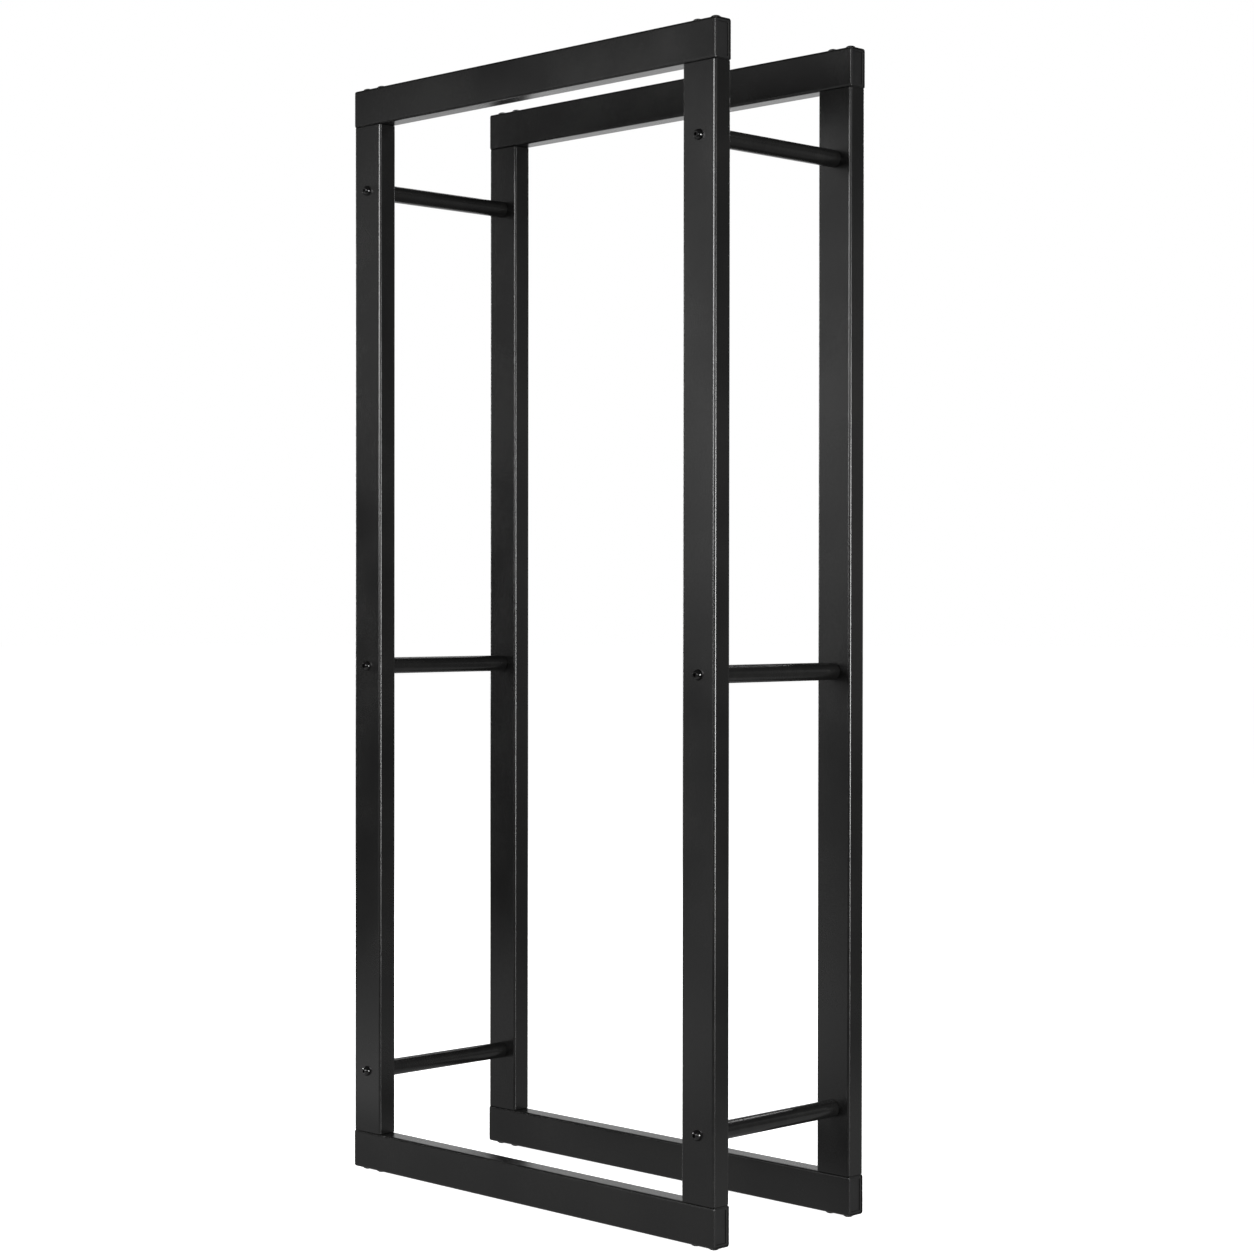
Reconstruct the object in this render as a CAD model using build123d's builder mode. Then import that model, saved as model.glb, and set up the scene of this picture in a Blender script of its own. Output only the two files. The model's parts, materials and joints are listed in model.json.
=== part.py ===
from build123d import *
import os

# Tall firewood log rack: two identical frames of rectangular tube, held apart by six round
# crossbars. Every joint is a hex-socket screw, so the rack comes flat in its box.
#
# Millimetres. +Z is up, +X is to the right, and the front frame stands on the -Y side.
# The origin is on the floor under the middle of the rack. The floor touches the crowns of
# the eight screws that come up through the two bottom rails.

# Overall size of the two frames
RACK_WIDTH = 600.0
RACK_DEPTH = 250.0
RACK_HEIGHT = 1320.0  # underside of the bottom rails to the top of the top rails

# Rectangular tubes, their wide side turned to the front
RAIL_FACE = 45.0
UPRIGHT_FACE = 48.0
TUBE_DEPTH = 25.0
TUBE_WALL = 1.5
TUBE_CORNER = 3.0
CUT_EDGE = 0.9  # rounding on the outer edge of every sawn end

# Crossbars: round tube between the uprights
BAR_DIAMETER = 20.0
BAR_WALL = 1.5
BAR_HEIGHTS = {"lower": 120.0, "middle": 616.0, "upper": 1196.0}  # above the rail's underside

# Screws with a hex socket: domed heads on the crossbars, low button heads on the corners.
# The bulge is how far the dome stands out from the chord between its rim and its crown.
DOMED_HEAD = {"diameter": 12.0, "height": 5.4, "rim": 0.5, "bulge": 0.7}
BUTTON_HEAD = {"diameter": 13.0, "height": 3.3, "rim": 0.8, "bulge": 0.4}
SHANK_DIAMETER = 5.9
CROWN_DIAMETER = 6.2
SOCKET_ACROSS_FLATS = 4.0
SOCKET_DEPTH = 2.6
SHANK_POINT = 0.8
CORNER_SCREW_LENGTH = 55.0
CORNER_SCREW_PITCH = 26.0  # two side by side where a rail meets an upright
BAR_SCREW_LENGTH = 45.0
TURN_STEP = 37.0  # each screw stops at its own angle

# What the screws pass through and bite into
CLEARANCE_HOLE = 6.6
THREADED_HOLE = 6.0
NUT_PLATE_THICKNESS = 6.0
INSERT_LENGTH = 25.0
INSERT_PLAY = 0.05

# Push-in plugs that close the rail ends
PLUG_DEPTH = 6.0
PLUG_FACE = 2.5
PLUG_WALL = 2.0
PLUG_PLAY = 0.1
PLUG_RECESS = 0.3
PLUG_EDGE = 0.9
PLUG_RIM = 2.8  # width of the raised rim around the sunk middle of the plug
PLUG_SINK = 1.3
PLUG_RIM_EDGE = 0.5

# Places worked out from the sizes above
UNDERSIDE = BUTTON_HEAD["height"]  # the screw heads lift the bottom rails this far off the floor
TOPSIDE = UNDERSIDE + RACK_HEIGHT
UPRIGHT_LENGTH = RACK_HEIGHT - 2 * RAIL_FACE
UPRIGHT_ENDS = {"lower": UNDERSIDE + RAIL_FACE, "upper": TOPSIDE - RAIL_FACE}
BAR_LENGTH = RACK_DEPTH - 2 * TUBE_DEPTH

RAIL_BORE = RAIL_FACE - 2 * TUBE_WALL
UPRIGHT_BORE = UPRIGHT_FACE - 2 * TUBE_WALL
BORE_DEPTH = TUBE_DEPTH - 2 * TUBE_WALL
BORE_CORNER = TUBE_CORNER - TUBE_WALL
PLUG_CORNER = BORE_CORNER - PLUG_PLAY
BAR_BORE = BAR_DIAMETER - 2 * BAR_WALL

FRAME_Y = {
    "front": -(RACK_DEPTH - TUBE_DEPTH) / 2,
    "back": (RACK_DEPTH - TUBE_DEPTH) / 2,
}
UPRIGHT_X = {
    "left": -(RACK_WIDTH - UPRIGHT_FACE) / 2,
    "right": (RACK_WIDTH - UPRIGHT_FACE) / 2,
}
RAIL_Z = {
    "top": TOPSIDE - RAIL_FACE / 2,
    "bottom": UNDERSIDE + RAIL_FACE / 2,
}
BAR_Z = {level: UNDERSIDE + height for level, height in BAR_HEIGHTS.items()}
CORNER_SCREW_OFFSETS = (-CORNER_SCREW_PITCH / 2, CORNER_SCREW_PITCH / 2)
CORNER_SCREW_X = [x + offset for x in UPRIGHT_X.values() for offset in CORNER_SCREW_OFFSETS]


def finish(builder, name):
    """Label a finished piece and write it to its own STEP file."""
    builder.part.label = name
    export_step(builder.part, f"parts/{name}.step")


def round_cut_ends(tube, axis):
    """Round the outer edge of both sawn ends of a tube that runs along the axis."""
    ends = tube.faces().filter_by(axis).sort_by(axis)
    for end in (ends[0], ends[-1]):
        fillet(end.outer_wire().edges(), CUT_EDGE)


def make_rail(name, y, z):
    """A level tube over the full width, with two screw holes above or below each upright."""
    with BuildPart() as rail:
        with BuildSketch(Plane.YZ.offset(-RACK_WIDTH / 2)):
            with Locations((y, z)):
                RectangleRounded(TUBE_DEPTH, RAIL_FACE, TUBE_CORNER)
                RectangleRounded(BORE_DEPTH, RAIL_BORE, BORE_CORNER, mode=Mode.SUBTRACT)
        extrude(amount=RACK_WIDTH)
        round_cut_ends(rail, Axis.X)
        with BuildSketch(Plane.XY.offset(z - RAIL_FACE / 2)):
            with Locations([(x, y) for x in CORNER_SCREW_X]):
                Circle(CLEARANCE_HOLE / 2)
        extrude(amount=RAIL_FACE, mode=Mode.SUBTRACT)
    finish(rail, name)


def make_upright(name, x, y):
    """A standing tube between two rails, with a screw hole at each crossbar."""
    with BuildPart() as upright:
        with BuildSketch(Plane.XY.offset(UPRIGHT_ENDS["lower"])):
            with Locations((x, y)):
                RectangleRounded(UPRIGHT_FACE, TUBE_DEPTH, TUBE_CORNER)
                RectangleRounded(UPRIGHT_BORE, BORE_DEPTH, BORE_CORNER, mode=Mode.SUBTRACT)
        extrude(amount=UPRIGHT_LENGTH)
        round_cut_ends(upright, Axis.Z)
        with BuildSketch(Plane.XZ.offset(-y - TUBE_DEPTH / 2)):
            with Locations([(x, z) for z in BAR_Z.values()]):
                Circle(CLEARANCE_HOLE / 2)
        extrude(amount=TUBE_DEPTH, mode=Mode.SUBTRACT)
    finish(upright, name)


def make_nut_plate(name, x, y, floor_z):
    """The plate welded inside one end of an upright, tapped for the two corner screws."""
    with BuildPart() as plate:
        with BuildSketch(Plane.XY.offset(floor_z)):
            with Locations((x, y)):
                RectangleRounded(UPRIGHT_BORE, BORE_DEPTH, BORE_CORNER)
            with Locations([(x + offset, y) for offset in CORNER_SCREW_OFFSETS]):
                Circle(THREADED_HOLE / 2, mode=Mode.SUBTRACT)
        extrude(amount=NUT_PLATE_THICKNESS)
    finish(plate, name)


def make_plug(name, y, z, side):
    """The shallow cup pushed into one end of a rail; side is +1 at the right end."""
    face_x = RACK_WIDTH / 2 - PLUG_RECESS
    outline = (BORE_DEPTH - 2 * PLUG_PLAY, RAIL_BORE - 2 * PLUG_PLAY)
    middle = (outline[0] - 2 * PLUG_RIM, outline[1] - 2 * PLUG_RIM)
    hollow = (outline[0] - 2 * PLUG_WALL, outline[1] - 2 * PLUG_WALL)
    with BuildPart() as plug:
        with BuildSketch(Plane.YZ.offset(side * (face_x - PLUG_DEPTH))):
            with Locations((y, z)):
                RectangleRounded(*outline, PLUG_CORNER)
        extrude(amount=side * PLUG_DEPTH)
        outer_face = plug.faces().filter_by(Axis.X).sort_by(Axis.X)[-1 if side > 0 else 0]
        fillet(outer_face.edges(), PLUG_EDGE)
        with BuildSketch(Plane.YZ.offset(side * (face_x - PLUG_SINK))):
            with Locations((y, z)):
                Rectangle(*middle)
        extrude(amount=side * PLUG_SINK, mode=Mode.SUBTRACT)
        rim_face = plug.faces().filter_by(Axis.X).sort_by(Axis.X)[-1 if side > 0 else 0]
        fillet(rim_face.inner_wires()[0].edges(), PLUG_RIM_EDGE)
        with BuildSketch(Plane.YZ.offset(side * (face_x - PLUG_DEPTH))):
            with Locations((y, z)):
                Rectangle(*hollow)
        extrude(amount=side * (PLUG_DEPTH - PLUG_FACE), mode=Mode.SUBTRACT)
    finish(plug, name)


def make_crossbar(name, x, z):
    """A round tube that holds the front and back uprights apart."""
    with BuildPart() as bar:
        with BuildSketch(Plane.XZ.offset(-BAR_LENGTH / 2)):
            with Locations((x, z)):
                Circle(BAR_DIAMETER / 2)
                Circle(BAR_BORE / 2, mode=Mode.SUBTRACT)
        extrude(amount=BAR_LENGTH)
        round_cut_ends(bar, Axis.Y)
    finish(bar, name)


def make_insert(name, x, z, frame_side):
    """The tapped insert in one end of a crossbar; frame_side is -1 at the front end."""
    with BuildPart() as insert:
        with BuildSketch(Plane.XZ.offset(-frame_side * BAR_LENGTH / 2)):
            with Locations((x, z)):
                Circle(BAR_BORE / 2 - INSERT_PLAY)
                Circle(THREADED_HOLE / 2, mode=Mode.SUBTRACT)
        extrude(amount=frame_side * INSERT_LENGTH)
    finish(insert, name)


def one_screw(head, length, turn):
    """A screw whose head stands on the XY plane and whose shank points down."""
    head_radius = head["diameter"] / 2
    crown_radius = CROWN_DIAMETER / 2
    shank_radius = SHANK_DIAMETER / 2
    with BuildPart() as screw:
        with BuildSketch(Plane.XZ):
            with BuildLine():
                SagittaArc(
                    (head_radius, head["rim"]), (crown_radius, head["height"]), -head["bulge"]
                )
                Polyline(
                    (crown_radius, head["height"]),
                    (0, head["height"]),
                    (0, -length),
                    (shank_radius - SHANK_POINT, -length),
                    (shank_radius, SHANK_POINT - length),
                    (shank_radius, 0),
                    (head_radius, 0),
                    (head_radius, head["rim"]),
                )
            make_face()
        revolve(axis=Axis.Z)
        with BuildSketch(Plane.XY.offset(head["height"])):
            RegularPolygon(SOCKET_ACROSS_FLATS / 2, 6, major_radius=False, rotation=turn)
        extrude(amount=-SOCKET_DEPTH, mode=Mode.SUBTRACT)
    return screw.part.solid()


def make_screws(name, head, length, seats, outward):
    """All the screws of one row: each head stands on its seat and faces outward."""
    row = [one_screw(head, length, TURN_STEP * number) for number in range(len(seats))]
    with BuildPart() as screws:
        for screw, seat in zip(row, seats):
            with Locations(Plane(origin=seat, z_dir=outward)):
                add(screw)
    finish(screws, name)


os.makedirs("parts", exist_ok=True)

for frame, y in FRAME_Y.items():
    for level, z in RAIL_Z.items():
        make_rail(f"{frame}_{level}_rail", y, z)
        make_plug(f"{frame}_{level}_rail_left_plug", y, z, -1)
        make_plug(f"{frame}_{level}_rail_right_plug", y, z, 1)
    for side, x in UPRIGHT_X.items():
        make_upright(f"{frame}_{side}_upright", x, y)
        make_nut_plate(f"{frame}_{side}_lower_nut_plate", x, y, UPRIGHT_ENDS["lower"])
        make_nut_plate(
            f"{frame}_{side}_upper_nut_plate", x, y, UPRIGHT_ENDS["upper"] - NUT_PLATE_THICKNESS
        )

for side, x in UPRIGHT_X.items():
    for level, z in BAR_Z.items():
        make_crossbar(f"{side}_{level}_crossbar", x, z)
        make_insert(f"{side}_{level}_crossbar_front_insert", x, z, -1)
        make_insert(f"{side}_{level}_crossbar_back_insert", x, z, 1)

for frame, y in FRAME_Y.items():
    outward = 1 if y > 0 else -1
    face_y = outward * RACK_DEPTH / 2
    bar_seats = [(x, face_y, z) for x in UPRIGHT_X.values() for z in BAR_Z.values()]
    top_seats = [(x, y, TOPSIDE) for x in CORNER_SCREW_X]
    bottom_seats = [(x, y, UNDERSIDE) for x in CORNER_SCREW_X]
    make_screws(
        f"{frame}_crossbar_screws", DOMED_HEAD, BAR_SCREW_LENGTH, bar_seats, (0, outward, 0)
    )
    make_screws(
        f"{frame}_top_rail_screws", BUTTON_HEAD, CORNER_SCREW_LENGTH, top_seats, (0, 0, 1)
    )
    make_screws(
        f"{frame}_bottom_rail_screws", BUTTON_HEAD, CORNER_SCREW_LENGTH, bottom_seats, (0, 0, -1)
    )
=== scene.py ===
"""The firewood log rack: finishes, plain floor, soft studio light and camera around the CAD frame."""

import json
import math

import bpy
from mathutils import Matrix, Vector


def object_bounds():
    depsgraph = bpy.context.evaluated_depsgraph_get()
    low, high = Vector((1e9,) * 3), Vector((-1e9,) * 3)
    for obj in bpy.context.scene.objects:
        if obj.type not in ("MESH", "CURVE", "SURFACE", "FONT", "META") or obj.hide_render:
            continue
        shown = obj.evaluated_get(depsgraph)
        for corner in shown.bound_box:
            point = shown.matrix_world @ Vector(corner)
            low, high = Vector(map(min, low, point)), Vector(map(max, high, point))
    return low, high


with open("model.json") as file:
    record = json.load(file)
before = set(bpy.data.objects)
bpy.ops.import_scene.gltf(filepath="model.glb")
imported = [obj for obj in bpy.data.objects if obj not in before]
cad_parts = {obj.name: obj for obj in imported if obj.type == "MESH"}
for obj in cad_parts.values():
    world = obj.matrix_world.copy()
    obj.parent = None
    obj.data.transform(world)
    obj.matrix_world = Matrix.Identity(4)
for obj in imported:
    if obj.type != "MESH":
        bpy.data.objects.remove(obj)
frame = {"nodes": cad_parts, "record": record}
cad_low, cad_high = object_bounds()
centre = (cad_low + cad_high) / 2

# Camera: metres from the middle of the rack, then degrees
CAMERA_PLACE = Vector((2.2361, -2.2307, 0.0331))
CAMERA_TURN = 45.709  # 0 looks along +Y and 90 looks along -X
CAMERA_LOOK_DOWN = 0.515
CAMERA_ROLL = 0.059
CAMERA_REACH = 200.0  # metres, well past the edge of the floor
LENS_MM = 76.76
SENSOR_MM = 36.0
SHIFT_X = 0.04609  # share of the picture width

FLOOR_RADIUS = 40.0
FLOOR_SIDES = 96
FLOOR_GLOW = 0.97  # almost as white as the room
PANEL_LIFT = 0.002

ROOM_SEEN = 1.0  # the white that the camera sees around the rack
ROOM_FILL = 0.045  # the light that the same room throws on the rack

# Lights that hang around the rack and face its middle. Azimuth 0 is on the -Y side and 90 is on
# the +X side; both angles are in degrees. Distance, width and height are in metres.
SOFTBOXES = [
    # name, azimuth, elevation, distance, width, height, radiance
    ("right_fill", 90, 0, 3.6, 1.3, 1.1, 30.0),
    ("front_fill", -8, 14, 3.5, 1.4, 1.2, 21.0),
    ("key", 20, 18, 3.6, 1.2, 1.1, 6.0),
    ("spark", 48, 9, 3.2, 0.4, 0.4, 9.0),
    ("right_high", 115, 38, 3.4, 1.2, 1.0, 2.5),
    ("left_mid", -30, 4, 2.6, 0.8, 0.5, 0.9),
    ("left_high", -42, 16, 2.4, 0.9, 0.7, 0.5),
    ("left_low", -32, -14, 2.0, 0.7, 0.5, 0.25),
    ("right_back", 150, 5, 3.4, 1.5, 1.3, 0.4),
    ("backdrop", 225, 4, 3.8, 2.4, 1.0, 0.9),
    ("back_high", 225, 34, 3.6, 1.6, 0.8, 1.6),
    ("rear_key", 186, 26, 3.6, 1.2, 1.1, 7.0),
    ("rear_left_fill", 275, 6, 3.6, 1.3, 1.1, 12.0),
]

# Lights that lie on the floor and face up, in the same units
FLOOR_PANELS = [
    # name, azimuth, distance, width, length, radiance
    ("floor_near", 0, 0.0, 1.7, 1.7, 0.3),
    ("floor_left", -45, 1.4, 1.2, 1.2, 0.5),
    ("floor_right", 135, 2.6, 2.4, 2.4, 0.1),
    ("floor_back", 225, 3.6, 3.0, 4.0, 1.0),
]


# ---- node helpers -------------------------------------------------------------------
def new_material(name):
    """A node material, with its nodes, its links and its Principled shader."""
    material = bpy.data.materials.new(name)
    material.use_nodes = True
    nodes = material.node_tree.nodes
    return material, nodes, material.node_tree.links, nodes["Principled BSDF"]


def noise(nodes, links, scale, detail, roughness=0.5):
    """The value of a noise texture over the object's own coordinates, which are in metres."""
    place = nodes.new("ShaderNodeTexCoord")
    texture = nodes.new("ShaderNodeTexNoise")
    texture.inputs["Scale"].default_value = scale
    texture.inputs["Detail"].default_value = detail
    texture.inputs["Roughness"].default_value = roughness
    links.new(place.outputs["Object"], texture.inputs["Vector"])
    return texture.outputs["Fac"]


def remap(nodes, links, source, low, high, from_low=0.3, from_high=0.7):
    """The source value, moved from one range to another; most noise lies in 0.3 to 0.7."""
    node = nodes.new("ShaderNodeMapRange")
    node.inputs["From Min"].default_value = from_low
    node.inputs["From Max"].default_value = from_high
    node.inputs["To Min"].default_value = low
    node.inputs["To Max"].default_value = high
    links.new(source, node.inputs["Value"])
    return node.outputs["Result"]


def colour_ramp(nodes, links, source, stops):
    """A colour that follows the source value through (position, colour) stops."""
    ramp = nodes.new("ShaderNodeValToRGB")
    elements = ramp.color_ramp.elements
    while len(elements) < len(stops):
        elements.new(0.5)
    for element, (position, colour) in zip(elements, stops):
        element.position = position
        element.color = (*colour, 1.0)
    links.new(source, ramp.inputs["Fac"])
    return ramp.outputs["Color"]


def maths(nodes, links, operation, first, second):
    """One arithmetic step; the second value may be a plain number."""
    node = nodes.new("ShaderNodeMath")
    node.operation = operation
    links.new(first, node.inputs[0])
    if isinstance(second, float):
        node.inputs[1].default_value = second
    else:
        links.new(second, node.inputs[1])
    return node.outputs["Value"]


def blend(nodes, links, amount, base, colour):
    """The base colour, mixed towards a fixed colour by the amount."""
    node = nodes.new("ShaderNodeMix")
    node.data_type = "RGBA"
    mix_a, mix_b = [socket for socket in node.inputs if socket.type == "RGBA"]
    links.new(amount, node.inputs[0])
    links.new(base, mix_a)
    mix_b.default_value = (*colour, 1.0)
    return [socket for socket in node.outputs if socket.type == "RGBA"][0]


def bump(nodes, links, heights, strength, distance, under=None):
    """A bump of the given real height, laid over another bump if there is one."""
    node = nodes.new("ShaderNodeBump")
    node.inputs["Strength"].default_value = strength
    node.inputs["Distance"].default_value = distance
    links.new(heights, node.inputs["Height"])
    if under is not None:
        links.new(under, node.inputs["Normal"])
    return node.outputs["Normal"]


def edge_mask(nodes, links, full_lean):
    """How far the surface leans away from the axes: 0 on flat faces, 1 on rounded edges.

    It reaches 1 where the largest part of the surface normal is down to 1 - full_lean.
    """
    place = nodes.new("ShaderNodeTexCoord")
    size = nodes.new("ShaderNodeVectorMath")
    size.operation = "ABSOLUTE"
    links.new(place.outputs["Normal"], size.inputs[0])
    parts = nodes.new("ShaderNodeSeparateXYZ")
    links.new(size.outputs["Vector"], parts.inputs["Vector"])
    larger = maths(nodes, links, "MAXIMUM", parts.outputs["X"], parts.outputs["Y"])
    largest = maths(nodes, links, "MAXIMUM", larger, parts.outputs["Z"])
    return remap(nodes, links, largest, 0.0, 1.0, from_low=1.0, from_high=1.0 - full_lean)


# ---- finishes -----------------------------------------------------------------------
def powder_coat(name, has_rounded_edges):
    """Satin black powder coat: shade drift, fine orange peel, pinhead grain, and rounded edges
    painted lighter, partly as rub wear and partly as a painted highlight.

    A round bar has no edges that stand out, so its lighter rub wear is spread a little all over
    instead.
    """
    material, nodes, links, shader = new_material(name)
    drift = noise(nodes, links, scale=9.0, detail=3.0)
    grain = noise(nodes, links, scale=2600.0, detail=2.0)
    peel = noise(nodes, links, scale=480.0, detail=2.0, roughness=0.4)
    scuff = noise(nodes, links, scale=70.0, detail=6.0, roughness=0.6)
    # Rounded tube edges get lighter paint: partly rub wear, partly a painted highlight; a round bar
    # gets only the wear, evenly.
    edge_wear_and_highlight_reach = edge_mask(nodes, links, full_lean=0.2) if has_rounded_edges else 0.3
    rub_wear_and_painted_highlight = remap(nodes, links, scuff, 0.0, 1.0, from_low=0.50, from_high=0.66)
    rub_wear_and_painted_highlight = maths(nodes, links, "MULTIPLY", rub_wear_and_painted_highlight, edge_wear_and_highlight_reach)

    tone = colour_ramp(nodes, links, drift, [
        (0.30, (0.0044, 0.0044, 0.0044)),
        (0.70, (0.0064, 0.0063, 0.0061)),
    ])
    # Lighter colour where the mask is high: rub wear, and on rounded tube edges also a painted
    # highlight.
    tone = blend(nodes, links, rub_wear_and_painted_highlight, tone, (0.013, 0.013, 0.012))
    links.new(tone, shader.inputs["Base Color"])

    matt = remap(nodes, links, drift, 0.23, 0.29)
    matt = maths(nodes, links, "ADD", matt, remap(nodes, links, grain, -0.02, 0.02))
    polish = remap(nodes, links, rub_wear_and_painted_highlight, 0.0, 0.035, from_low=0.0, from_high=1.0)
    links.new(maths(nodes, links, "SUBTRACT", matt, polish), shader.inputs["Roughness"])

    relief = bump(nodes, links, grain, strength=0.3, distance=0.000015)
    relief = bump(nodes, links, peel, strength=0.4, distance=0.00004, under=relief)
    links.new(relief, shader.inputs["Normal"])
    return material


def screw_steel():
    """Glossy black-oxide steel, mottled with lighter specks."""
    material, nodes, links, shader = new_material("black_screw_finish")
    mottle = noise(nodes, links, scale=700.0, detail=4.0)
    tone = colour_ramp(nodes, links, mottle, [
        (0.35, (0.0022, 0.0022, 0.0024)),
        (0.62, (0.0050, 0.0049, 0.0048)),
        (0.80, (0.0200, 0.0190, 0.0170)),
    ])
    links.new(tone, shader.inputs["Base Color"])
    links.new(remap(nodes, links, mottle, 0.09, 0.15), shader.inputs["Roughness"])
    shader.inputs["Specular IOR Level"].default_value = 0.7
    relief = bump(nodes, links, mottle, strength=0.2, distance=0.00002)
    links.new(relief, shader.inputs["Normal"])
    return material


def plug_plastic():
    """Moulded black plastic with a fine spark-eroded grain and edges polished by handling."""
    material, nodes, links, shader = new_material("black_plastic_finish")
    grain = noise(nodes, links, scale=1800.0, detail=3.0)
    cloud = noise(nodes, links, scale=60.0, detail=3.0)
    handled = edge_mask(nodes, links, full_lean=0.25)

    tone = colour_ramp(nodes, links, cloud, [
        (0.3, (0.0040, 0.0040, 0.0041)),
        (0.7, (0.0070, 0.0070, 0.0070)),
    ])
    tone = blend(nodes, links, handled, tone, (0.012, 0.012, 0.012))
    links.new(tone, shader.inputs["Base Color"])

    matt = remap(nodes, links, grain, 0.34, 0.46)
    polish = remap(nodes, links, handled, 0.0, 0.1, from_low=0.0, from_high=1.0)
    links.new(maths(nodes, links, "SUBTRACT", matt, polish), shader.inputs["Roughness"])
    shader.inputs["Specular IOR Level"].default_value = 0.38
    relief = bump(nodes, links, grain, strength=0.4, distance=0.00003)
    links.new(relief, shader.inputs["Normal"])
    return material


def zinc_plate():
    """Bright zinc on the plates and inserts inside the tubes, with a cloudy crystal pattern."""
    material, nodes, links, shader = new_material("zinc_plate_finish")
    cloud = noise(nodes, links, scale=260.0, detail=5.0, roughness=0.6)
    tone = colour_ramp(nodes, links, cloud, [
        (0.3, (0.42, 0.42, 0.40)),
        (0.7, (0.62, 0.62, 0.60)),
    ])
    links.new(tone, shader.inputs["Base Color"])
    shader.inputs["Metallic"].default_value = 1.0
    links.new(remap(nodes, links, cloud, 0.26, 0.42), shader.inputs["Roughness"])
    relief = bump(nodes, links, cloud, strength=0.3, distance=0.00005)
    links.new(relief, shader.inputs["Normal"])
    return material


TUBE_COAT = powder_coat("black_powder_coat_on_square_tube", has_rounded_edges=True)
BAR_COAT = powder_coat("black_powder_coat_on_round_bar", has_rounded_edges=False)
OTHER_FINISHES = {
    "black_screw_steel": screw_steel(),
    "black_plastic": plug_plastic(),
    "bare_steel": zinc_plate(),
}

for row in frame["record"]["subparts"]:
    coat = BAR_COAT if row["node"].endswith("_crossbar") else TUBE_COAT
    node = frame["nodes"][row["node"]]
    node.data.materials.clear()
    node.data.materials.append(OTHER_FINISHES.get(row["material_slot"], coat))


# ---- stage --------------------------------------------------------------------------
def make_floor():
    """A plain pale floor at the height of the screw heads the rack stands on.

    The rack doesn't mirror the floor and gets no light from it: the floor panels stand in for
    the light that a white floor throws back up.
    """
    bpy.ops.mesh.primitive_circle_add(
        vertices=FLOOR_SIDES, radius=FLOOR_RADIUS, fill_type="NGON", location=(0, 0, cad_low.z)
    )
    floor = bpy.context.active_object
    floor.name = "floor"
    material, _nodes, _links, shader = new_material("floor_paint")
    shader.inputs["Base Color"].default_value = (0.80, 0.80, 0.80, 1.0)
    shader.inputs["Roughness"].default_value = 0.9
    shader.inputs["Specular IOR Level"].default_value = 0.1
    shader.inputs["Emission Color"].default_value = (1.0, 1.0, 1.0, 1.0)
    shader.inputs["Emission Strength"].default_value = FLOOR_GLOW
    floor.data.materials.append(material)
    floor.visible_glossy = False
    floor.visible_diffuse = False


def make_world():
    """A white room to the eye, and a dim even fill for the light that falls on the rack."""
    world = bpy.data.worlds.new("studio")
    world.use_nodes = True
    nodes, links = world.node_tree.nodes, world.node_tree.links
    fill = nodes["Background"]
    seen = nodes.new("ShaderNodeBackground")
    for background, strength in ((fill, ROOM_FILL), (seen, ROOM_SEEN)):
        background.inputs["Color"].default_value = (1.0, 1.0, 1.0, 1.0)
        background.inputs["Strength"].default_value = strength
    path = nodes.new("ShaderNodeLightPath")
    mix = nodes.new("ShaderNodeMixShader")
    links.new(path.outputs["Is Camera Ray"], mix.inputs["Fac"])
    links.new(fill.outputs["Background"], mix.inputs[1])
    links.new(seen.outputs["Background"], mix.inputs[2])
    links.new(mix.outputs["Shader"], nodes["World Output"].inputs["Surface"])
    bpy.context.scene.world = world


def heading(azimuth, elevation):
    """The unit direction from the rack towards a light; the angles are in degrees."""
    turn, lift = math.radians(azimuth), math.radians(elevation)
    return Vector((
        math.sin(turn) * math.cos(lift),
        -math.cos(turn) * math.cos(lift),
        math.sin(lift),
    ))


def soft_light(name, place, facing, width, length, radiance):
    """A rectangular soft light with its middle at a place, unseen by the camera itself."""
    lamp = bpy.data.lights.new(name, "AREA")
    lamp.shape = "RECTANGLE"
    lamp.size = width
    lamp.size_y = length
    lamp.energy = radiance * math.pi * width * length
    light = bpy.data.objects.new(name, lamp)
    bpy.context.scene.collection.objects.link(light)
    light.location = place
    light.rotation_euler = (-facing).to_track_quat("Z", "Y").to_euler()
    light.visible_camera = False


def make_lights():
    """The softboxes around the rack, then the panels that lie on the floor."""
    for name, azimuth, elevation, distance, width, height, radiance in SOFTBOXES:
        away = heading(azimuth, elevation)
        soft_light(name, centre + away * distance, -away, width, height, radiance)
    for name, azimuth, distance, width, length, radiance in FLOOR_PANELS:
        place = heading(azimuth, 0) * distance
        place.z = cad_low.z + PANEL_LIFT
        soft_light(name, place, Vector((0, 0, 1)), width, length, radiance)


make_floor()
make_world()
make_lights()
bpy.context.scene.view_settings.view_transform = "Standard"


# ---- camera -------------------------------------------------------------------------
def make_camera():
    """The camera stands front right of the rack, level with its middle."""
    data = bpy.data.cameras.new("camera")
    data.sensor_width = SENSOR_MM
    data.lens = LENS_MM
    data.shift_x = SHIFT_X
    data.clip_end = CAMERA_REACH
    camera = bpy.data.objects.new("camera", data)
    bpy.context.scene.collection.objects.link(camera)
    turn = Matrix.Rotation(math.radians(CAMERA_TURN), 4, "Z")
    tilt = Matrix.Rotation(math.radians(90 - CAMERA_LOOK_DOWN), 4, "X")
    roll = Matrix.Rotation(math.radians(CAMERA_ROLL), 4, "Z")
    camera.matrix_world = Matrix.Translation(centre + CAMERA_PLACE) @ turn @ tilt @ roll
    bpy.context.scene.camera = camera


make_camera()
